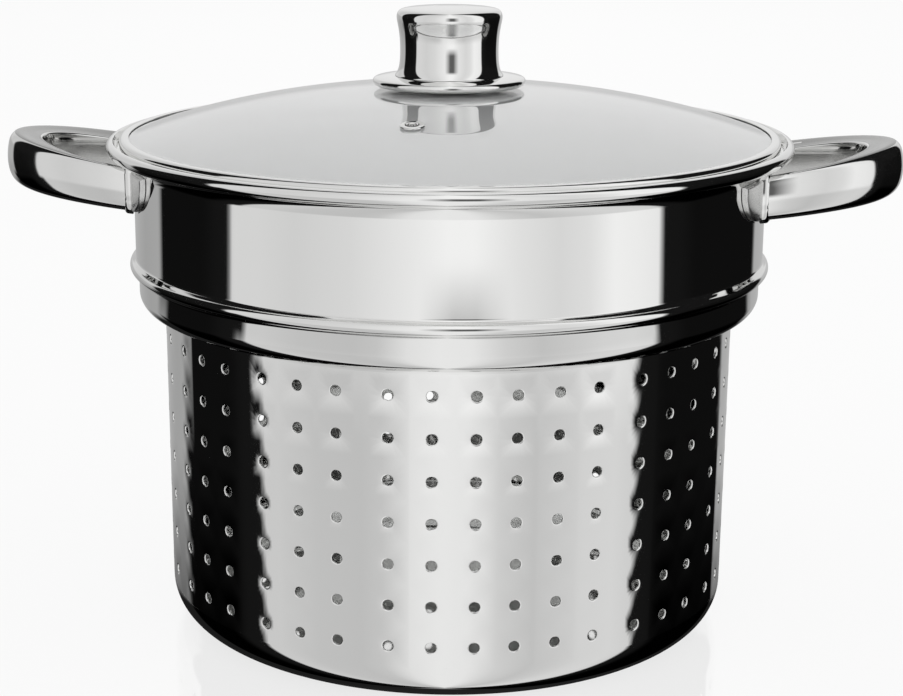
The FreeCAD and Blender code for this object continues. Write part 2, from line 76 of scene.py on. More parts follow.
camera_data = bpy.data.cameras.new("photo_camera")
camera_data.sensor_width = SENSOR_MM
camera_data.lens = FOCAL_PX / PICTURE_WIDTH_PX * SENSOR_MM
camera_data.shift_x = (PICTURE_WIDTH_PX / 2 - CENTRE_COLUMN_PX) / PICTURE_WIDTH_PX
camera = bpy.data.objects.new("photo_camera", camera_data)
bpy.context.collection.objects.link(camera)
camera.location = (CAMERA_AWAY * math.sin(POT_TURN), -CAMERA_AWAY * math.cos(POT_TURN), CAMERA_UP)
camera.rotation_euler = Euler((math.pi / 2 - CAMERA_PITCH, 0, POT_TURN + LOOK_ASIDE))
bpy.context.scene.camera = camera
print("lens mm", round(camera_data.lens, 2))

# %% [markdown]
# ## Small helpers
#
# Colours are written as people write them, as sRGB hex values, and one function turns them to the
# linear values that a shader needs. Others add one node with its settings and links, or one step of
# arithmetic. They serve materials, the world and Geometry Nodes alike.

# %% Helpers for nodes and materials
def linear(hex_value):
    """An sRGB hex colour as linear red, green, blue and alpha."""
    channels = [int(hex_value[i:i + 2], 16) / 255 for i in (0, 2, 4)]
    return [c / 12.92 if c <= 0.04045 else ((c + 0.055) / 1.055) ** 2.4 for c in channels] + [1.0]


def add(tree, kind, settings=None, **inputs):
    """Adds a node. A socket given as an input is linked, and any other value is set."""
    node = tree.nodes.new(kind)
    for name, value in (settings or {}).items():
        setattr(node, name, value)
    for name, value in inputs.items():
        label = name.replace("_", " ")
        socket = node.inputs[int(name[1:])] if name[1:].isdigit() else next(
            s for s in node.inputs if s.name.lower() == label.lower() and s.enabled)
        if isinstance(value, bpy.types.NodeSocket):
            tree.links.new(value, socket)
        else:
            socket.default_value = value
    return node


def calc(tree, operation, first, second=0.0):
    """One step of arithmetic as a node."""
    return add(tree, "ShaderNodeMath", {"operation": operation}, _0=first, _1=second).outputs[0]


def new_material(name):
    """A new material, its node tree and its main shader."""
    material = bpy.data.materials.new(name)
    material.use_nodes = True
    return material, material.node_tree, material.node_tree.nodes["Principled BSDF"]


def set_sockets(node, values):
    """Sets plain values on the named sockets of a node."""
    for name, value in values.items():
        node.inputs[name].default_value = value


def grainy(tree, shader, place, grain_mm, low, high, **noise):
    """Lets a fine noise move the roughness between two values."""
    grain = add(tree, "ShaderNodeTexNoise", Vector=place, Scale=1 / (grain_mm * MM), **noise)
    rough = add(tree, "ShaderNodeMapRange", Value=grain.outputs["Fac"], To_Min=low, To_Max=high)
    tree.links.new(rough.outputs["Result"], shader.inputs["Roughness"])


WHITE = (1, 1, 1, 1)
print("mid grey in linear values", [round(v, 3) for v in linear("808080")])

# %% Helpers for meshes
MERGE_MM = 0.002
ON_AXIS_MM = 1e-6
RING_STEPS = 256
SHARP_DEGREES = 40


def as_object(name, data):
    """A new object in the scene that shows a mesh or a curve."""
    thing = bpy.data.objects.new(name, data)
    bpy.context.collection.objects.link(thing)
    return thing


def face_outwards(mesh, merge_mm=0.0):
    """Turns the faces outwards, after joining points that lie closer than the given distance."""
    shell = bmesh.new()
    shell.from_mesh(mesh)
    if merge_mm:
        bmesh.ops.remove_doubles(shell, verts=shell.verts, dist=merge_mm * MM)
    bmesh.ops.recalc_face_normals(shell, faces=shell.faces)
    shell.to_mesh(mesh)
    shell.free()


def smooth_shade(mesh, sharp_degrees):
    """Shades a mesh smooth and keeps creases past the angle sharp."""
    mesh.shade_smooth()
    mesh.set_sharp_from_angle(angle=math.radians(sharp_degrees))


def mesh_piece(name, points, faces, sharp_degrees=SHARP_DEGREES):
    """A smooth-shaded object from points in millimetres, with creases past the angle kept sharp."""
    mesh = bpy.data.meshes.new(name)
    mesh.from_pydata([[v * MM for v in point] for point in points], [], faces)
    face_outwards(mesh, MERGE_MM)
    smooth_shade(mesh, sharp_degrees)
    return as_object(name, mesh)


def plain_mesh(thing, name):
    """The evaluated mesh of an object, as a new object at the origin in its place."""
    bpy.context.view_layer.update()
    mesh = bpy.data.meshes.new_from_object(thing.evaluated_get(bpy.context.evaluated_depsgraph_get()))
    mesh.transform(thing.matrix_world)
    mesh.name = name
    bpy.data.objects.remove(thing)
    return as_object(name, mesh)


def ring_faces(levels, around):
    """Faces between rings of points that are numbered one ring after the other."""
    faces = []
    for level in range(levels - 1):
        for step in range(around):
            a = level * around + step
            b = level * around + (step + 1) % around
            faces.append((a, b, b + around, a + around))
    return faces


def arc(middle, radius, start, end, steps):
    """Points along an arc, with angles in degrees from the first axis."""
    turns = [math.radians(start + (end - start) * step / steps) for step in range(steps + 1)]
    return [(middle[0] + radius * math.cos(t), middle[1] + radius * math.sin(t)) for t in turns]


def turned(name, section, steps=RING_STEPS, sharp_degrees=SHARP_DEGREES):
    """A closed half section (radius, height) spun about Z."""
    points, faces, rings = [], [], []
    for radius, height in section:
        if radius < ON_AXIS_MM:
            rings.append([len(points)] * steps)
            points.append((0, 0, height))
            continue
        rings.append(list(range(len(points), len(points) + steps)))
        for step in range(steps):
            angle = 2 * math.pi * step / steps
            points.append((radius * math.cos(angle), radius * math.sin(angle), height))
    for ring, after in zip(rings, rings[1:] + rings[:1]):
        for step in range(steps):
            corners = [ring[step], ring[(step + 1) % steps], after[(step + 1) % steps], after[step]]
            corners = list(dict.fromkeys(corners))
            if len(corners) > 2:
                faces.append(corners)
    return mesh_piece(name, points, faces, sharp_degrees)


def inward(path, thickness):
    """The path moved to its left by the thickness, as the inside of a bent sheet."""
    moved = []
    for index, (across, up) in enumerate(path):
        before = path[max(index - 1, 0)]
        after = path[min(index + 1, len(path) - 1)]
        length = math.hypot(after[0] - before[0], after[1] - before[1])
        moved.append((across - (after[1] - before[1]) / length * thickness,
                      up + (after[0] - before[0]) / length * thickness))
    return moved


def wear(piece, material, slot, *nodes):
    """Gives a finished piece its material, its body and the nodes that it stands for. The slot is not used.
    """
    piece.data.materials.clear()
    piece.data.materials.append(material)
    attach(piece, "root")
    if nodes:
        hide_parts(*nodes)
    print(piece.name, "faces", len(piece.data.polygons))


# %% [markdown]
# ## Polished stainless steel
#
# The pot is 18/10 stainless steel, drawn and then buffed to a mirror. That gives the eye almost
# nothing but the room: hard black and white bands. Buffing leaves hair-fine lines and a slow
# waviness of the sheet, so a fine noise lifts the roughness a little and a broad, very shallow bump
# bends the reflections. Where the steel is only brushed, the bands blur to soft greys.
#
# The inside of the collar is written as a bright, matte non-metal. Light that is caught between
# mirrors under the lid would die out at the ray tracer's limit of bounces and leave the lid dark,
# and the matte wall hands it back.

# %% Steel materials
BUFFING_MM = 0.4
ROUGHEST = 1.6


def polished_steel(name, tint, gloss, wave_mm, wave_depth_mm, metallic=1.0):
    """Steel of a tint and a roughness, whose sheet waves over a length and by a depth."""
    material, tree, shader = new_material(name)
    set_sockets(shader, {"Metallic": metallic, "Base Color": linear(tint)})
    place = add(tree, "ShaderNodeTexCoord").outputs["Object"]
    grainy(tree, shader, place, BUFFING_MM, gloss, gloss * ROUGHEST, Detail=2.0)
    wave = add(tree, "ShaderNodeTexNoise", Vector=place, Scale=1 / (wave_mm * MM), Detail=1.0)
    bump = add(tree, "ShaderNodeBump", Height=wave.outputs["Fac"], Distance=wave_depth_mm * MM, Strength=1.0)
    tree.links.new(bump.outputs["Normal"], shader.inputs["Normal"])
    return material


# The pot, the lid's band and the knob: a mirror with hard black and white bands.
mirror_steel = polished_steel("mirror_polished_stainless_steel", "F0F0EF", 0.03, 45.0, 0.05)
# The handle loops, their sockets and the vent: the same bands, a little softer and in shorter waves.
handle_steel = polished_steel("buffed_handle_steel", "EBEBEA", 0.05, 20.0, 0.03)
# The inside of the collar: a soft, even light grey.
brushed_inside = polished_steel("brushed_inside_steel", "F4F4F3", 0.5, 12.0, 0.02, metallic=0.0)
# The handle plates: light, with blurred bands.
brushed_plate = polished_steel("fine_brushed_plate_steel", "DEDEDD", 0.22, 20.0, 0.02)
# The tops of the handles: brushed, with blurred bands, and a darker grey that is painted shade.
brushed_top_painted_shade = polished_steel("brushed_handle_top_steel_painted_shade", "A4A4A3", 0.16, 20.0, 0.03)
# The screw, the stud and the washer: dull grey.
turned_steel = polished_steel("turned_screw_steel", "A9A8A6", 0.25, 3.0, 0.02)
print("materials so far", [material.name for material in bpy.data.materials])

# %% [markdown]
# ## The perforated wall
#
# On the real pot the holes are punched and leave a small rounded lip. Cutting them with booleans
# would spoil the smooth shading that a mirror needs, so the wall is made like a stencil instead: one
# flat cell with a round hole is repeated by Geometry Nodes for every hole, plain strips fill the
# spaces between the columns, and the whole flat sheet is then rolled round the tub. The columns stand
# in groups of three, and the last gap is a little narrower than the others, as on the real pot.

# %% Sizes of the tub
SHEET = 0.8
TUB_TOP_RADIUS = 109.3
TUB_FOOT_RADIUS = 108.8
CORNER_RADIUS = 15.25
HOLE_RADIUS = 2.0
ROWS = 7
ROW_PITCH = 15.3
LOW_ROW = 22.9
GROUPS = 14
GROUP_COLUMNS = 3
COLUMN_STEP = 8.0
CLOSING_STEP = 23.5
GROUP_STEP = (360.0 - CLOSING_STEP) / (GROUPS - 1)
FRONT_DEGREES = -90.0
FIRST_GROUP = FRONT_DEGREES + 23.9
CELL_DEGREES = CLOSING_STEP - (GROUP_COLUMNS - 1) * COLUMN_STEP
CELL_SIDE_STEPS = 4
WALL_LOW = LOW_ROW - ROW_PITCH / 2
WALL_HIGH = LOW_ROW + (ROWS - 0.5) * ROW_PITCH
print("group step", round(GROUP_STEP, 2), "cell", CELL_DEGREES, "wall", WALL_LOW, WALL_HIGH)

# %% One punched cell
# Depth under the outer face, and radius as a share of the hole's, from the outer lip to the inner.
LIP = ((0.0, 1.22), (0.03, 1.06), (0.16, 1.0), (SHEET - 0.12, 1.0), (SHEET, 1.1), (SHEET, 1.22))


def punched_cell():
    """A flat cell, in degrees of turn in X and millimetres up in Z, with its depth inwards in Y."""
    degree_mm = math.radians(1) * TUB_TOP_RADIUS
    square = []
    for side in range(4):
        for step in range(CELL_SIDE_STEPS):
            t = 2 * step / CELL_SIDE_STEPS - 1
            square.append([(1, t), (-t, 1), (-1, -t), (t, -1)][side])
    rings = []
    for depth, lip in LIP:
        ring = []
        for x, z in square:
            length = math.hypot(x, z)
            radius = HOLE_RADIUS * lip
            ring.append((x / length * radius / degree_mm, depth, z / length * radius))
        rings.append(ring)
    front, back = ([(x * CELL_DEGREES / 2, depth, z * ROW_PITCH / 2) for x, z in square]
                   for depth in (0.0, SHEET))
    rings = [front] + rings + [back]
    mesh = bpy.data.meshes.new("punched_cell")
    mesh.from_pydata([point for ring in rings for point in ring], [], ring_faces(len(rings), len(square)))
    return as_object("punched_cell", mesh)


cell = punched_cell()
print("faces in one cell", len(cell.data.polygons))

# %% Roll the punched sheet with Geometry Nodes
WALL_INPUTS = {"Cell": "Object", "Rows": "Int", "Row Pitch": "Float", "Low Row": "Float",
               "Columns": "Int", "Column Step": "Float", "Group Step": "Float", "First Group": "Float",
               "Cell Degrees": "Float", "Group Columns": "Int", "Foot Radius": "Float",
               "Top Radius": "Float", "Material": "Material"}


def rolled_wall_tree():
    """Repeats the cell for each hole, fills the spaces with plain strips, and rolls the sheet up."""
    tree = bpy.data.node_groups.new("rolled_punched_wall", "GeometryNodeTree")
    for name, kind in WALL_INPUTS.items():
        tree.interface.new_socket(name, in_out="INPUT", socket_type="NodeSocket" + kind)
    tree.interface.new_socket("Geometry", in_out="OUTPUT", socket_type="NodeSocketGeometry")
    given = tree.nodes.new("NodeGroupInput").outputs

    def math_node(operation, a, b=0.0):
        return calc(tree, operation, a, b)

    # One point for each hole, counted up one column after the other, and a cell on each.
    count = math_node("MULTIPLY", given["Rows"], given["Columns"])
    index = add(tree, "GeometryNodeInputIndex").outputs[0]
    column = math_node("FLOOR", math_node("DIVIDE", index, given["Rows"]))
    row = math_node("FLOORED_MODULO", index, given["Rows"])
    group = math_node("FLOOR", math_node("DIVIDE", column, given["Group Columns"]))
    in_group = math_node("FLOORED_MODULO", column, given["Group Columns"])
    from_middle = math_node("SUBTRACT", in_group, math_node(
        "DIVIDE", math_node("SUBTRACT", given["Group Columns"], 1.0), 2.0))
    angle = math_node("ADD", math_node("ADD", given["First Group"], math_node(
        "MULTIPLY", group, given["Group Step"])), math_node("MULTIPLY", from_middle, given["Column Step"]))
    height = math_node("ADD", given["Low Row"], math_node("MULTIPLY", row, given["Row Pitch"]))
    spot = add(tree, "ShaderNodeCombineXYZ", X=angle, Y=0.0, Z=height).outputs[0]
    dots = add(tree, "GeometryNodePoints", Count=count, Position=spot).outputs[0]
    pattern = add(tree, "GeometryNodeObjectInfo", Object=given["Cell"]).outputs["Geometry"]
    cells = add(tree, "GeometryNodeInstanceOnPoints", Points=dots, Instance=pattern).outputs[0]
    # A plain strip beside each cell, wider after a group. The last column needs none: it closes the wall.
    last_in_group = add(tree, "FunctionNodeCompare", {"data_type": "FLOAT", "operation": "GREATER_THAN"},
                        _0=in_group, _1=math_node("SUBTRACT", given["Group Columns"], 1.5)).outputs[0]
    short = math_node("SUBTRACT", given["Column Step"], given["Cell Degrees"])
    extra = math_node("SUBTRACT", given["Group Step"], math_node(
        "MULTIPLY", given["Group Columns"], given["Column Step"]))
    gap = math_node("ADD", short, math_node("MULTIPLY", last_in_group, extra))
    strip_middle = math_node("ADD", angle, math_node("DIVIDE", math_node(
        "ADD", given["Cell Degrees"], gap), 2.0))
    strip_spot = add(tree, "ShaderNodeCombineXYZ", X=strip_middle, Y=0.0, Z=height).outputs[0]
    is_last = math_node("GREATER_THAN", index, math_node("SUBTRACT", count, math_node(
        "ADD", given["Rows"], 0.5)))
    strip_dots = add(tree, "GeometryNodePoints", Count=count, Position=strip_spot).outputs[0]
    sheet = add(tree, "GeometryNodeMeshGrid", Size_X=1.0, Size_Y=1.0, Vertices_X=2,
                Vertices_Y=CELL_SIDE_STEPS + 1).outputs["Mesh"]
    upright = add(tree, "GeometryNodeTransform", Geometry=sheet, Rotation=(math.pi / 2, 0, 0)).outputs[0]
    inside = add(tree, "GeometryNodeTransform", Geometry=add(
        tree, "GeometryNodeFlipFaces", Mesh=upright).outputs[0], Translation=(0, SHEET, 0)).outputs[0]
    pair = tree.nodes.new("GeometryNodeJoinGeometry")
    tree.links.new(upright, pair.inputs[0])
    tree.links.new(inside, pair.inputs[0])
    stretch = add(tree, "ShaderNodeCombineXYZ", X=gap, Y=1.0, Z=given["Row Pitch"]).outputs[0]
    strips = add(tree, "GeometryNodeInstanceOnPoints", Points=strip_dots, Instance=pair.outputs[0],
                 Scale=stretch).outputs[0]
    kept = add(tree, "GeometryNodeDeleteGeometry", {"domain": "INSTANCE"}, Geometry=strips,
               Selection=is_last).outputs[0]
    both = tree.nodes.new("GeometryNodeJoinGeometry")
    tree.links.new(cells, both.inputs[0])
    tree.links.new(kept, both.inputs[0])
    real = add(tree, "GeometryNodeRealizeInstances", Geometry=both.outputs[0]).outputs[0]
    # The flat sheet is rolled about Z: degrees become a turn, and depth goes inwards.
    flat = add(tree, "ShaderNodeSeparateXYZ", Vector=add(tree, "GeometryNodeInputPosition").outputs[0])
    turn = math_node("RADIANS", flat.outputs["X"])
    slope = add(tree, "ShaderNodeMapRange", Value=flat.outputs["Z"], From_Min=WALL_LOW, From_Max=WALL_HIGH,
                To_Min=given["Foot Radius"], To_Max=given["Top Radius"]).outputs[0]
    radius = math_node("SUBTRACT", slope, flat.outputs["Y"])
    rolled = add(tree, "ShaderNodeCombineXYZ",
                 X=math_node("MULTIPLY", radius, math_node("COSINE", turn)),
                 Y=math_node("MULTIPLY", radius, math_node("SINE", turn)), Z=flat.outputs["Z"]).outputs[0]
    metres = add(tree, "ShaderNodeVectorMath", {"operation": "SCALE"}, _0=rolled, Scale=MM).outputs[0]
    wrapped = add(tree, "GeometryNodeSetPosition", Geometry=real, Position=metres).outputs[0]
    merged = add(tree, "GeometryNodeMergeByDistance", Geometry=wrapped, Distance=0.01 * MM).outputs[0]
    dressed = add(tree, "GeometryNodeSetMaterial", Geometry=merged, Material=given["Material"]).outputs[0]
    out = tree.nodes.new("NodeGroupOutput")
    tree.links.new(dressed, out.inputs["Geometry"])
    return tree


def run_nodes(name, tree, values):
    """Puts the tree on an empty mesh, sets its inputs, and returns the result as a plain mesh object."""
    holder = as_object(name + "_holder", bpy.data.meshes.new(name + "_holder"))
    modifier = holder.modifiers.new(name, "NODES")
    modifier.node_group = tree
    for socket in tree.interface.items_tree:
        if socket.in_out == "INPUT":
            modifier[socket.identifier] = values[socket.name]
    return plain_mesh(holder, name)


wall = run_nodes("tub_wall", rolled_wall_tree(), {
    "Cell": cell, "Rows": ROWS, "Row Pitch": ROW_PITCH, "Low Row": LOW_ROW, "Columns": GROUPS * GROUP_COLUMNS,
    "Column Step": COLUMN_STEP, "Group Step": GROUP_STEP, "First Group": FIRST_GROUP,
    "Cell Degrees": CELL_DEGREES, "Group Columns": GROUP_COLUMNS, "Foot Radius": TUB_FOOT_RADIUS,
    "Top Radius": TUB_TOP_RADIUS, "Material": mirror_steel})
bpy.data.objects.remove(cell)
face_outwards(wall.data)
smooth_shade(wall.data, sharp_degrees=50)
wear(wall, mirror_steel, "polished_steel", "strainer_body")

# %% [markdown]
# ## The tub's corner and base
#
# The wall runs into the flat base through a round corner. It is the same sheet, so it is turned with
# the same thickness. The drain holes in the base are drawn as circles in one flat curve, because a
# filled curve leaves clean holes, and the curve is then made a mesh and lifted to its place.

# %% Corner and base
BASE_RADIUS = TUB_FOOT_RADIUS - CORNER_RADIUS
CORNER_STEPS = 24
DRAIN_PITCH = 24.0
DRAIN_RINGS = 3
DRAIN_HOLES = 6
HOLE_POINTS = 24

corner_middle = (BASE_RADIUS, CORNER_RADIUS)
corner_outside = arc(corner_middle, CORNER_RADIUS, 0, -90, CORNER_STEPS)
corner_inside = arc(corner_middle, CORNER_RADIUS - SHEET, -90, 0, CORNER_STEPS)
corner = turned("tub_corner", corner_outside + corner_inside, sharp_degrees=60)
wear(corner, mirror_steel, "polished_steel", "strainer_body")


def circle_spline(curve, radius, place, points):
    """Adds a closed circle, in millimetres, to a flat curve."""
    spline = curve.splines.new("POLY")
    spline.points.add(points - 1)
    for index in range(points):
        angle = 2 * math.pi * index / points
        spline.points[index].co = (
            (place[0] + radius * math.cos(angle)) * MM, (place[1] + radius * math.sin(angle)) * MM, 0, 1)
    spline.use_cyclic_u = True


disc = bpy.data.curves.new("tub_base", "CURVE")
disc.dimensions = "2D"
disc.fill_mode = "BOTH"
disc.extrude = SHEET / 2 * MM
circle_spline(disc, BASE_RADIUS, (0, 0), RING_STEPS)
for ring in range(DRAIN_RINGS + 1):
    for hole in range(max(1, DRAIN_HOLES * ring)):
        angle = math.radians(360 / DRAIN_HOLES * hole / max(1, ring))
        spot = (ring * DRAIN_PITCH * math.cos(angle), ring * DRAIN_PITCH * math.sin(angle))
        circle_spline(disc, HOLE_RADIUS, spot, HOLE_POINTS)
disc_object = as_object("tub_base_curve", disc)
disc_object.location.z = SHEET / 2 * MM
base = plain_mesh(disc_object, "tub_base")
smooth_shade(base.data, SHARP_DEGREES)
wear(base, mirror_steel, "polished_steel", "strainer_body")

# %% [markdown]
# ## The collar
#
# Above the tub the sheet turns out to a flat shoulder, up through the locating band, round the bead
# that rests on the outer pot, and up the plain wall to a flare and a rolled rim. It is one turned
# outline: the outside is drawn once, and the inside is the same line moved in by the sheet.

# %% Collar
COLLAR_RADIUS = 120.0
BAND_RADIUS = 119.0
SHOULDER = 124.5
SHOULDER_ROUND = 6.0
BEAD = 140.7
BEAD_HALF = 2.8
BEAD_RADIUS = 122.3
FLARE_START = 177.5
SEAT = 184.0
RIM_RADIUS = min(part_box("strainer_body")[1][:2]) / MM
RIM_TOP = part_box("strainer_body")[1][2] / MM
RIM_HALF = 2.4
FOOT_ROUND = 1.3
FILLET, FILLET_UNDER, FILLET_OVER = 1.2, 1.0, 0.9
BEAD_ROUND = BEAD_HALF * 0.8
FLARE_ROUND = 6.2
LEDGE_EDGE, LEDGE_FOOT, LEDGE_ROUND = 122.6, 125.4, 0.9
RIM_INSIDE = [(127.2, 187.4), (126.7, 186.2), (126.3, 184.6)]

collar_outside = [(TUB_TOP_RADIUS, WALL_HIGH)]
collar_outside += arc((TUB_TOP_RADIUS + FOOT_ROUND, SHOULDER - FOOT_ROUND), FOOT_ROUND, 180, 90, 8)
collar_outside += arc((BAND_RADIUS - SHOULDER_ROUND, SHOULDER + SHOULDER_ROUND), SHOULDER_ROUND, -90, 0, 20)
collar_outside += arc((BAND_RADIUS + FILLET, BEAD - BEAD_HALF - FILLET_UNDER), FILLET, 180, 100, 6)
collar_outside += arc((BEAD_RADIUS - BEAD_ROUND, BEAD), BEAD_ROUND, -62, 62, 18)
collar_outside += arc((COLLAR_RADIUS + FILLET, BEAD + BEAD_HALF + FILLET_OVER), FILLET, 240, 180, 6)
collar_outside += arc((COLLAR_RADIUS + FLARE_ROUND, FLARE_START), FLARE_ROUND, 180, 112, 18)
collar_inside = inward(collar_outside, SHEET)
rim_roll = arc((RIM_RADIUS - RIM_HALF, RIM_TOP - RIM_HALF), RIM_HALF, -84, 96, 20)
rim_inside = RIM_INSIDE + arc((LEDGE_FOOT, SEAT + LEDGE_ROUND), LEDGE_ROUND, -10, -90, 5)
collar = turned("collar", collar_outside + rim_roll + rim_inside + [(LEDGE_EDGE, SEAT)]
                + collar_inside[::-1])
wear(collar, mirror_steel, "polished_steel", "strainer_body")
collar.data.materials.append(brushed_inside)
for face in collar.data.polygons:
    face_inwards = face.normal.xy.dot(face.center.xy) < 0
    face.material_index = int(face_inwards and SHOULDER * MM < face.center.z < SEAT * MM)

# %% [markdown]
# ## The handles
#
# On the real pot each handle is a hollow loop of folded sheet, and its closed outside is drawn here.
# Seen from above it is half an ellipse that widens towards its tip, its tall outer face bulges a
# little, and its top is dished down to an inner lip. A section is drawn once as a function of place,
# and lofted along the loop. The faces that look up wear the brushed steel, whose darker grey is
# painted shade.

# %% Handles
HANDLE_MIDDLE = 110.0
OUTER_HALF_AXES = (58.4, 38.0)
INNER_HALF_AXES = (47.4, 29.5)
OUTER_END = 85.2
INNER_END = 80.3
ROOT_X, TIP_X = 116.4, 168.4
ROOT_HIGH, HIGH_RISE = 179.4, 8.8
ROOT_TALL, TALL_RISE = 16.3, 4.3
ROOT_BULGE, BULGE_RISE = 0.8, 2.0
TOP_DIP = 1.9
TOP_FACING = 0.9
HANDLE_STEPS = 128
LIP_ROUND, UNDER_ROUND = 1.0, 1.6
SIDES = (("right", 0.0), ("left", math.pi))


def smooth_through(corners, steps=5):
    """Points on a smooth curve through all corners but the first and the last, which only steer it."""
    line = []
    for before, here, after, beyond in zip(corners, corners[1:], corners[2:], corners[3:]):
        for step in range(steps):
            t = step / steps
            line.append(tuple(0.5 * (2 * h + (a - b) * t + (2 * b - 5 * h + 4 * a - c) * t ** 2
                                     + (3 * h - b - 3 * a + c) * t ** 3)
                              for b, h, a, c in zip(before, here, after, beyond)))
    return line + [corners[-2]]


def handle_section(s, grow=0.0):
    """Points round the section at s from -1 to 1 along the loop, with 0 at the tip, in millimetres."""
    outer, inner = (Vector((HANDLE_MIDDLE + axes[0] * math.cos(math.radians(end * s)),
                            axes[1] * math.sin(math.radians(end * s))))
                    for axes, end in ((OUTER_HALF_AXES, OUTER_END), (INNER_HALF_AXES, INNER_END)))
    along = (outer.x - ROOT_X) / (TIP_X - ROOT_X)
    high = ROOT_HIGH + HIGH_RISE * along
    low = high - ROOT_TALL - TALL_RISE * along
    bulge = ROOT_BULGE + BULGE_RISE * along
    width = (outer - inner).length
    out = (outer - inner).normalized()
    dished = high - TOP_DIP
    # As (out, up): from under the outer face up over its bulge, across the top and down its dish.
    flat = smooth_through([
        (width - 6.0, low), (width - 3.2, low), (width + 0.1 * bulge, low + 2.2),
        (width + 0.8 * bulge, low + 5.8), (width + bulge, (low + high) / 2 + 0.8),
        (width + 0.75 * bulge, high - 4.0), (width + 0.3 * bulge, high - 1.3), (width - 1.6, high),
        (width * 0.4, high - TOP_DIP * 0.7), (1.6, dished), (0.4, dished - 0.6)])
    flat += arc((LIP_ROUND, dished - LIP_ROUND), LIP_ROUND, 80, 180, 6)
    flat += arc((UNDER_ROUND, low + UNDER_ROUND), UNDER_ROUND, 180, 270, 6)
    if grow:
        middle = (low + high) / 2
        flat = [(u + grow * (1 if u > width / 2 else -1), z + grow * (1 if z > middle else -1))
                for u, z in flat]
    return [(inner.x + out.x * u, inner.y + out.y * u, z) for u, z in flat]


def lofted(sections):
    """Points and faces of a closed tube through sections that all have as many points."""
    around = len(sections[0])
    points = [point for section in sections for point in section]
    faces = ring_faces(len(sections), around)
    faces.append(tuple(range(around))[::-1])
    faces.append(tuple(range(len(points) - around, len(points))))
    return points, faces


def placed(points, turn):
    """The points turned about Z."""
    return [(x * math.cos(turn) - y * math.sin(turn), x * math.sin(turn) + y * math.cos(turn), z)
            for x, y, z in points]


for side, turn in SIDES:
    spots = [-1 + 2 * step / HANDLE_STEPS for step in range(HANDLE_STEPS + 1)]
    points, faces = lofted([handle_section(s) for s in spots])
    handle = mesh_piece("handle_" + side + "_loop", placed(points, turn), faces, 50)
    wear(handle, handle_steel, "polished_steel", "handle_" + side)
    # The faces that look up get a brushed steel that is tinted darker as painted shade.
    handle.data.materials.append(brushed_top_painted_shade)
    for face in handle.data.polygons:
        face.material_index = int(face.normal.z > TOP_FACING)

# %% [markdown]
# ## The handle plates
#
# A handle isn't welded straight to the thin wall: its ends sit in two low sockets on a plate that is
# bent round the collar. The plate is drawn flat as rows and columns with two rounded lower corners,
# then bent to the wall's radius. The sockets follow the handle's own section, one size larger.

# %% Handle plates
PLATE_GAP = 0.2
PLATE_THICK = 2.0
PLATE_HALF_DEGREES = 27.4
PLATE_LOW, PLATE_HIGH = 163.6, 178.4
PLATE_CORNER_ACROSS = 19.0
PLATE_CORNER_TALL = 13.0
PLATE_EDGE = 0.9
SOCKET_END = 0.038
SOCKET_GROW = 1.0
# The last two sections of a socket shrink, which rounds its outer edge.
SOCKET_GROWS = [SOCKET_GROW] * 5 + [SOCKET_GROW - 0.15, SOCKET_GROW - 0.7]
PLATE_COLUMNS, PLATE_ROWS = 96, 14


def plate_mesh():
    """Points and faces of a plate: an outer and an inner layer of rows and columns, and the edge."""
    half = math.radians(PLATE_HALF_DEGREES) * COLLAR_RADIUS
    columns, rows = PLATE_COLUMNS, PLATE_ROWS
    points = []
    for depth in (PLATE_THICK, 0.0):
        for column in range(columns + 1):
            across = half * math.sin(math.pi / 2 * (2 * column / columns - 1))
            inset = max(0.0, abs(across) - (half - PLATE_CORNER_ACROSS)) / PLATE_CORNER_ACROSS
            rise = PLATE_CORNER_TALL * (1 - math.sqrt(max(1 - inset ** 2, 0.0)))
            for row in range(rows + 1):
                share = (1 - math.cos(math.pi * row / rows)) / 2
                height = PLATE_LOW + rise + (PLATE_HIGH - PLATE_LOW - rise) * share
                from_edge = min(height - PLATE_LOW - rise, PLATE_HIGH - height,
                                half - abs(across)) / PLATE_EDGE
                near = 1 - min(max(from_edge, 0.0), 1.0)
                sink = PLATE_EDGE * (1 - math.sqrt(1 - near ** 2)) if depth > 0 else 0.0
                radius = COLLAR_RADIUS + PLATE_GAP + depth - sink
                angle = across / COLLAR_RADIUS
                points.append((radius * math.cos(angle), radius * math.sin(angle), height))
    faces = []
    layer = (columns + 1) * (rows + 1)
    for column in range(columns):
        for row in range(rows):
            a = column * (rows + 1) + row
            b = a + rows + 1
            faces.append((a, b, b + 1, a + 1))
            faces.append((a + layer, a + layer + 1, b + layer + 1, b + layer))
    border = ([c * (rows + 1) for c in range(columns + 1)]
              + [columns * (rows + 1) + r for r in range(1, rows + 1)]
              + [c * (rows + 1) + rows for c in range(columns - 1, -1, -1)]
              + [r for r in range(rows - 1, 0, -1)])
    for here, there in zip(border, border[1:] + border[:1]):
        faces.append((here, here + layer, there + layer, there))
    return points, faces


for side, turn in SIDES:
    points, faces = plate_mesh()
    plate = mesh_piece("plate_" + side, placed(points, turn), faces, 35)
    wear(plate, brushed_plate, "polished_steel", "handle_plate_" + side)
    for end in (-1, 1):
        steps = len(SOCKET_GROWS) - 1
        spots = [end * (1.0 - SOCKET_END * step / steps) for step in range(steps + 1)]
        points, faces = lofted([handle_section(s, grow) for s, grow in zip(spots, SOCKET_GROWS)])
        name = "socket_%s_%s" % (side, "front" if end < 0 else "back")
        socket = mesh_piece(name, placed(points, turn), faces, 35)
        wear(socket, handle_steel, "polished_steel", "handle_plate_" + side)

# %% [markdown]
# ## The glass lid
#
# The lid is tempered soda-lime glass, pressed to a shallow dome, with a steel band crimped round its
# edge. It is a closed solid of the true thickness. In the photograph it looks milky and bright, so it
# gives the eye more than clear glass would: a share of the light is scattered as a pale haze, and a
# coat with a high index of refraction adds a strong white sheen. The dome and the band are turned.

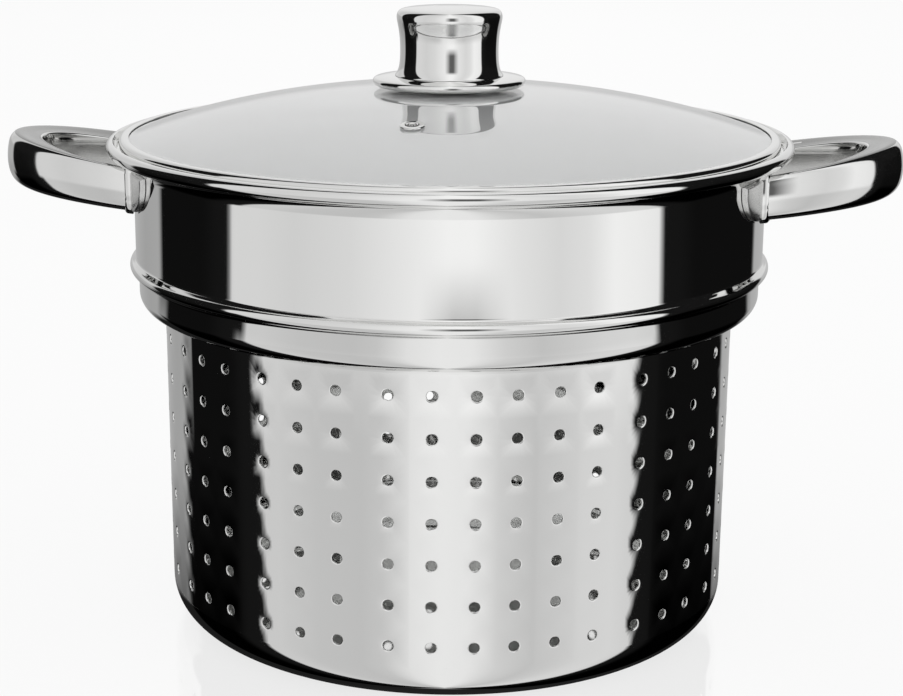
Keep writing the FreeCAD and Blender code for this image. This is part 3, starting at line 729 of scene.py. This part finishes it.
# %% Glass dome
glass, _, glass_shader = new_material("tempered_soda_lime_glass")
set_sockets(glass_shader, {
    "Transmission Weight": 0.68, "Roughness": 0.0, "IOR": 1.52, "Coat Weight": 1.0, "Coat IOR": 1.9,
    "Coat Roughness": 0.01, "Base Color": linear("FCFDFD")})

LID_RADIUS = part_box("lid_band")[1][0] / MM
LID_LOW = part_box("lid_band")[0][2] / MM
LID_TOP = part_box("lid_band")[1][2] / MM
GLASS_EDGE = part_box("lid_glass")[1][0] / MM
GLASS_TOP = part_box("lid_glass")[1][2] / MM
GLASS_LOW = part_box("lid_glass")[0][2] / MM
GLASS_THICK = 3.5
DOME_EDGE = LID_RADIUS - 3.8
DOME_POWER = 2.3
SCREW_HOLE = 2.6
DOME_STEPS = 40
GLASS_ROUND = 1.2

dome_rise = GLASS_TOP - GLASS_LOW - GLASS_THICK
dome = []
for step in range(DOME_STEPS + 1):
    radius = SCREW_HOLE + (DOME_EDGE - SCREW_HOLE) * step / DOME_STEPS
    dome.append((radius, GLASS_TOP - dome_rise * (radius / DOME_EDGE) ** DOME_POWER))
under = [(radius, height - GLASS_THICK) for radius, height in reversed(dome)]
edge_round = arc((GLASS_EDGE - GLASS_ROUND, GLASS_LOW + GLASS_THICK - GLASS_ROUND), GLASS_ROUND, 90, 0, 5)
edge_round += arc((GLASS_EDGE - GLASS_ROUND, GLASS_LOW + GLASS_ROUND), GLASS_ROUND, 0, -90, 5)
lid_glass = turned("glass_dome", dome + edge_round + under, steps=192, sharp_degrees=60)
wear(lid_glass, glass, "tempered_glass", "lid_glass")

# %% Steel band
BAND_SHEET = 0.6
BAND_LIP = 3.6
FOOT_TURN, TOP_TURN, LIP_TURN = 1.0, 1.6, 0.3
band_section = [(LID_RADIUS - BAND_LIP, LID_LOW)]
band_section += arc((LID_RADIUS - FOOT_TURN, LID_LOW + FOOT_TURN), FOOT_TURN, -90, 0, 5)
band_section += arc((LID_RADIUS - TOP_TURN, LID_TOP - TOP_TURN), TOP_TURN, 0, 90, 8)
band_section += arc((LID_RADIUS - BAND_LIP + LIP_TURN, LID_TOP - LIP_TURN), LIP_TURN, 90, 270, 6)
band_section += [(LID_RADIUS - TOP_TURN, LID_TOP - BAND_SHEET),
                 (LID_RADIUS - BAND_SHEET, LID_TOP - TOP_TURN),
                 (LID_RADIUS - BAND_SHEET, LID_LOW + BAND_SHEET),
                 (LID_RADIUS - BAND_LIP, LID_LOW + BAND_SHEET)]
lid_band = turned("lid_edge_band", band_section)
wear(lid_band, mirror_steel, "polished_steel", "lid_band")

# %% [markdown]
# ## The knob
#
# The knob is a thin steel cap with a waist for the fingers, on a round skirt that spreads its load on
# the glass. Both are spun and polished, so both are turned sections. Under the glass a silicone ring,
# a washer and the head of the screw close the stack.

# %% Knob
KNOB_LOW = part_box("knob_shell")[0][2] / MM
KNOB_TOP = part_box("knob_shell")[1][2] / MM
SKIRT_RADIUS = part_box("knob_skirt")[1][0] / MM
SKIRT_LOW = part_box("knob_skirt")[0][2] / MM
KNOB_ROOF = 1.8
SKIRT_ROUND = 1.4
# Radius, and height above the skirt: up the outside of the cap, and down its inside.
KNOB_OUTSIDE = ((20.8, 0.0), (20.3, 0.5), (19.6, 1.6), (19.1, 3.0), (18.75, 5.0), (18.6, 8.0),
                (18.6, 11.0), (18.75, 14.0), (19.1, 17.0), (19.6, 19.5), (19.95, 21.3), (20.0, 22.4),
                (19.75, 23.5), (19.1, 24.4), (18.0, 25.0), (15.0, 25.5), (8.0, 25.9))
KNOB_INSIDE = ((17.0, 23.6), (18.6, 21.5), (17.6, 11.0), (18.6, 2.0), (19.8, 0.0))

knob_outside = [(radius, KNOB_LOW + rise) for radius, rise in KNOB_OUTSIDE] + [(0.0, KNOB_TOP)]
knob_inside = [(0.0, KNOB_TOP - KNOB_ROOF)] + [(radius, KNOB_LOW + rise) for radius, rise in KNOB_INSIDE]
knob = turned("knob_cap", knob_outside + knob_inside, sharp_degrees=50)
subdivide = knob.modifiers.new("round", "SUBSURF")
subdivide.levels = subdivide.render_levels = 1
wear(knob, mirror_steel, "polished_steel", "knob_shell")

skirt_section = [(SCREW_HOLE, SKIRT_LOW), (SKIRT_RADIUS - 1.2, SKIRT_LOW)]
skirt_section += arc((SKIRT_RADIUS - SKIRT_ROUND, SKIRT_LOW + 1.6), SKIRT_ROUND, -70, 75, 12)
skirt_section += [(SKIRT_RADIUS - 3.5, SKIRT_LOW + 3.35), (SKIRT_RADIUS - 6.5, KNOB_LOW),
                  (SCREW_HOLE, KNOB_LOW)]
skirt = turned("knob_base_skirt", skirt_section, sharp_degrees=50)
wear(skirt, mirror_steel, "polished_steel", "knob_skirt")

# %% [markdown]
# ## The steam vent and the hidden hardware
#
# The vent is a small steel spool pressed through the glass. It stands square to the dome, so it is
# turned about Z and then leaned over. The seals, the washer, the stud and the screw keep the solids
# of the frame, because their shape is right, and only get a finish. Silicone is soft and milky: it
# gives the eye a matte, light grey edge between the steel and the glass.

# %% Vent
VENT_ANGLE = -7.1
VENT_PLACE = 72.0
# Radius, and height above the dome: the lower flange, the bore's wall and the upper flange.
vent_section = [(1.6, -4.6), (4.3, -4.5), (4.5, -4.1), (4.3, -3.8), (3.1, -3.8), (3.1, 0.2)]
vent_section += arc((4.1, 0.6), 0.4, -90, 90, 6) + [(3.0, 1.05)] + arc((2.1, 0.55), 0.5, 90, 180, 5)
vent = turned("vent_spool", vent_section, steps=64, sharp_degrees=50)
slope = math.atan(dome_rise * DOME_POWER * (VENT_PLACE / DOME_EDGE) ** (DOME_POWER - 1) / DOME_EDGE)
vent_height = GLASS_TOP - dome_rise * (VENT_PLACE / DOME_EDGE) ** DOME_POWER
vent.data.transform(Matrix.Rotation(math.radians(VENT_ANGLE) - math.pi / 2, 4, "Z")
                    @ Matrix.Translation((VENT_PLACE * MM, 0, vent_height * MM))
                    @ Matrix.Rotation(slope, 4, "Y"))
wear(vent, handle_steel, "polished_steel", "vent_eyelet")

# %% Hidden hardware
SILICONE_GRAIN_MM = 1.5

silicone, silicone_tree, silicone_shader = new_material("translucent_grey_silicone")
set_sockets(silicone_shader, {"Base Color": linear("C4C4C0")})
silicone_place = add(silicone_tree, "ShaderNodeTexCoord").outputs["Object"]
grainy(silicone_tree, silicone_shader, silicone_place, SILICONE_GRAIN_MM, 0.35, 0.55)
for node, material in (("knob_seal", silicone), ("under_seal", silicone), ("steel_washer", turned_steel),
                       ("knob_screw", turned_steel), ("knob_stud", turned_steel)):
    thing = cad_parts[node]
    thing.data.materials.clear()
    thing.data.materials.append(material)
    print(node, "keeps its solid, in", material.name)

# %% [markdown]
# ## Room and floor
#
# Polished steel is a picture of the room, so the room is designed like a product studio: white all
# round, with a tall black flag on each side to draw the dark bands. In front hangs a softly lit
# screen, whose brightness changes from side to side. Its lower part, which the tub mirrors, is
# greyer, and the flags stand a little wider there. Behind the pot the room is slightly grey at eye
# level, which draws the tops of the handles, and dark below. A soft dark gap, where the camera looks
# through, draws the stripe on the knob. Only mirror reflections see that room. Every other ray sees
# plain white light at a strength of 1, which is also the white background.

# %% Levels of the room
# Directions are degrees from the camera, positive to its right, and levels go from 0 to 1.
UPPER_FLAGS = ((-124.0, -83.5), (81.0, 141.5))
LOWER_FLAGS = ((-131.5, -79.5), (82.5, 146.0))
FLAG_BLACK = 0.008
UPPER_SCREEN = ((-70, 0.74), (-55, 0.70), (-34, 0.76), (-13, 0.90), (0, 1.0), (9, 1.0), (24, 0.85),
                (39, 0.76), (50, 0.82), (60, 0.98), (70, 0.95))
LOWER_SCREEN = ((-70, 0.66), (-55, 0.60), (-34, 0.58), (-25, 0.62), (-14, 0.84), (-3, 0.91), (9, 0.89),
                (21, 0.70), (34, 0.60), (46, 0.66), (58, 0.73), (70, 0.75))
CAMERA_GAP = (-10.0, 22.0)
GAP_CORE_HALF = 4
GAP_LEVEL = 0.12
# Heights are the upward part of a direction: 1 is straight up.
GAP_HEIGHTS = ((-1.0, 0.0), (-0.19, 0.0), (-0.10, 1.0), (0.35, 1.0), (0.55, 0.0), (1.0, 0.0))
BEHIND = ((-1.0, 0.02), (-0.40, 0.02), (-0.30, 0.6), (-0.2, 0.6), (-0.12, 0.72), (0.04, 0.75), (0.1, 1.0),
          (1.0, 1.0))
LOWER_FROM, LOWER_WHOLLY = -0.225, -0.30
BEHIND_FROM, BEHIND_WHOLLY = 0.05, -0.15
print("black flags in degrees", UPPER_FLAGS, LOWER_FLAGS)

# %% Room
def level_ramp(tree, value, low, high, stops):
    """A grey level that follows a value through stops of (value, level)."""
    ramp = add(tree, "ShaderNodeValToRGB", Fac=add(tree, "ShaderNodeMapRange", Value=value, From_Min=low,
                                                    From_Max=high).outputs[0])
    elements = ramp.color_ramp.elements
    while len(elements) < len(stops):
        elements.new(0.5)
    for element, (place, level) in zip(elements, stops):
        element.position = (place - low) / (high - low)
        element.color = (level, level, level, 1)
    return ramp.outputs["Color"]


def by_azimuth(tree, azimuth, stops):
    """A grey level that follows the azimuth through stops of (degrees, level)."""
    return level_ramp(tree, azimuth, -180.0, 180.0, stops)


def by_height(tree, height, stops):
    """A grey level that follows the height through stops of (height, level)."""
    return level_ramp(tree, height, -1.0, 1.0, stops)


def mixed(tree, factor, first, second, blend="MIX"):
    """The second colour laid over the first by a factor."""
    return add(tree, "ShaderNodeMix", {"data_type": "RGBA", "blend_type": blend},
               _0=factor, _6=first, _7=second).outputs[2]


def around_the_room(screen, flags):
    """Stops by azimuth in degrees from the camera, positive to its right: side light, flags and screen."""
    left, right = flags
    return ([(-180, 0.85), (left[0] - 18, 0.62), (left[0] - 3, 0.66), (left[0], FLAG_BLACK),
             (left[1], FLAG_BLACK), (left[1] + 2, screen[0][1])] + list(screen)
            + [(right[0] - 2, screen[-1][1] - 0.05), (right[0], FLAG_BLACK), (right[1], FLAG_BLACK),
               (right[1] + 3, 0.7), (180, 0.85)])


world = bpy.data.worlds.new("studio")
bpy.context.scene.world = world
world.use_nodes = True
tree = world.node_tree
way = add(tree, "ShaderNodeVectorRotate", {"rotation_type": "Z_AXIS"},
          Vector=add(tree, "ShaderNodeTexCoord").outputs["Generated"], Angle=-POT_TURN)
parts = add(tree, "ShaderNodeSeparateXYZ", Vector=way.outputs[0])
height = parts.outputs["Z"]
ahead = calc(tree, "MULTIPLY", parts.outputs["Y"], -1.0)
azimuth = calc(tree, "DEGREES", calc(tree, "ARCTAN2", parts.outputs["X"], ahead))

# The screen and the flags, with their lower part below the upper one.
upper = by_azimuth(tree, azimuth, around_the_room(UPPER_SCREEN, UPPER_FLAGS))
lower = by_azimuth(tree, azimuth, around_the_room(LOWER_SCREEN, LOWER_FLAGS))
falling = add(tree, "ShaderNodeMapRange", Value=height, From_Min=LOWER_FROM, From_Max=LOWER_WHOLLY).outputs[0]
sides = mixed(tree, falling, upper, lower)

# The room behind the pot.
behind = by_height(tree, height, BEHIND)
away = add(tree, "ShaderNodeMapRange", {"interpolation_type": "SMOOTHSTEP"}, Value=ahead,
           From_Min=BEHIND_FROM, From_Max=BEHIND_WHOLLY).outputs[0]
open_room = mixed(tree, 1.0, sides, mixed(tree, away, WHITE, behind), "MULTIPLY")

# The gap for the camera.
gap_middle = (CAMERA_GAP[0] + CAMERA_GAP[1]) / 2
gap_side = by_azimuth(tree, azimuth, (
    (-180, 1.0), (CAMERA_GAP[0], 1.0), (gap_middle - GAP_CORE_HALF, GAP_LEVEL),
    (gap_middle + GAP_CORE_HALF, GAP_LEVEL), (CAMERA_GAP[1], 1.0), (180, 1.0)))
gap = mixed(tree, by_height(tree, height, GAP_HEIGHTS), WHITE, gap_side)
room = mixed(tree, 1.0, open_room, gap, "MULTIPLY")

# Only rays that have been mirrored, and not passed through glass, see the room.
path = add(tree, "ShaderNodeLightPath").outputs
mirror_only = calc(tree, "MULTIPLY", path["Is Glossy Ray"],
                   calc(tree, "SUBTRACT", 1.0, path["Is Transmission Ray"]))
seen = mixed(tree, mirror_only, WHITE, room)
tree.links.new(seen, tree.nodes["Background"].inputs["Color"])
tree.nodes["Background"].inputs["Strength"].default_value = 1.0
print("nodes in the room", len(tree.nodes))

# %% Floor
# White acrylic gives the eye a floor as bright as the background, with a faint shadow and a weak
# mirror image at the foot of the pot. The steel doesn't see it, so the pot's corner stays dark.
FLOOR_HALF = 3.0
MATTE_SHARE, GLOSS_SHARE = 0.12, 0.14
FLOOR_ROUGHNESS = 0.05

floor_mesh = bpy.data.meshes.new("floor")
floor_mesh.from_pydata([(-FLOOR_HALF, -FLOOR_HALF, 0), (FLOOR_HALF, -FLOOR_HALF, 0),
                        (FLOOR_HALF, FLOOR_HALF, 0), (-FLOOR_HALF, FLOOR_HALF, 0)], [], [(0, 1, 2, 3)])
floor = as_object("floor", floor_mesh)
floor_material, tree, plain_shader = new_material("white_acrylic_floor")
tree.nodes.remove(plain_shader)
white = add(tree, "ShaderNodeEmission", Color=WHITE, Strength=1.0).outputs[0]
matte = add(tree, "ShaderNodeBsdfDiffuse", Color=WHITE).outputs[0]
gloss = add(tree, "ShaderNodeBsdfGlossy", Color=WHITE, Roughness=FLOOR_ROUGHNESS).outputs[0]
shaded = add(tree, "ShaderNodeMixShader", _0=MATTE_SHARE, _1=white, _2=matte).outputs[0]
wet = add(tree, "ShaderNodeMixShader", _0=GLOSS_SHARE, _1=shaded, _2=gloss).outputs[0]
tree.links.new(wet, tree.nodes["Material Output"].inputs["Surface"])
floor_mesh.materials.append(floor_material)
floor.visible_glossy = False
print("floor", 2 * FLOOR_HALF, "m wide")

# %% [markdown]
# ## Finish
#
# The colours are shown as they are.

# %% Finish
bpy.context.scene.view_settings.view_transform = "Standard"
